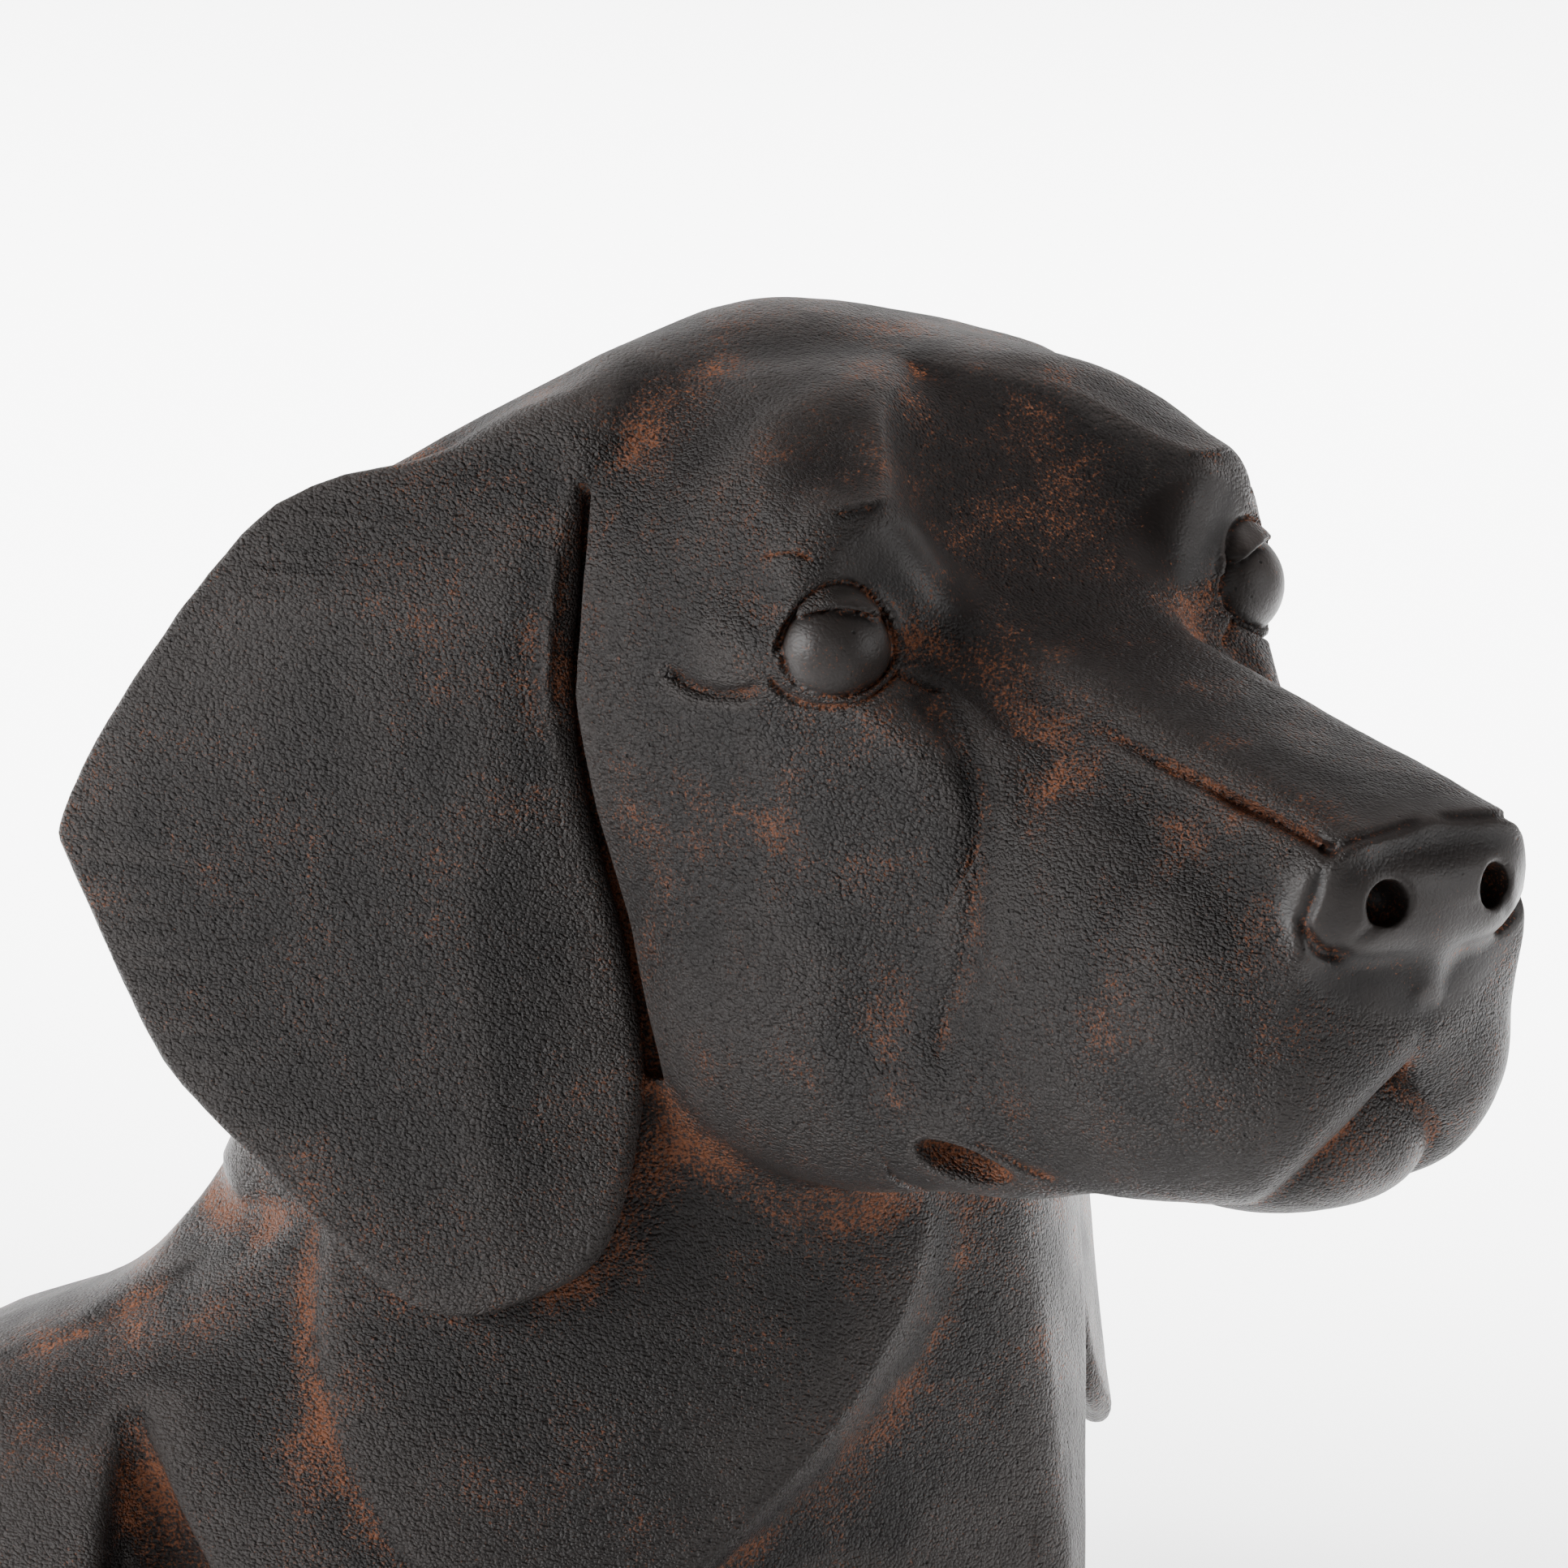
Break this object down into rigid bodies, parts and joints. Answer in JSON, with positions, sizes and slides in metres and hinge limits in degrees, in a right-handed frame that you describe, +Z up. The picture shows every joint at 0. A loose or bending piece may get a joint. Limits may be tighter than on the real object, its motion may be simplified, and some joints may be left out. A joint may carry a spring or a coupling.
{
  "type": "dog bust sculpture",
  "caption": "Cast bust of a smooth-coated hound with hanging ears, head turned aside, on a neck and shoulders cut flat below.",
  "frame": {"origin": "middle of the bust's footprint box, at the height of its flat underside", "axes": "+Z up, the dog's chest faces -Y and its left side is +X; the head is turned 35 degrees to the dog's right"},
  "size_m": [0.2216, 0.307, 0.2157],
  "materials": {
    "dark_cast": "satin dark brown-black casting with a rust-coloured wash in the recesses"
  },
  "bodies": {
    "root": {"dog_bust": "dark_cast"}
  },
  "joints": []
}
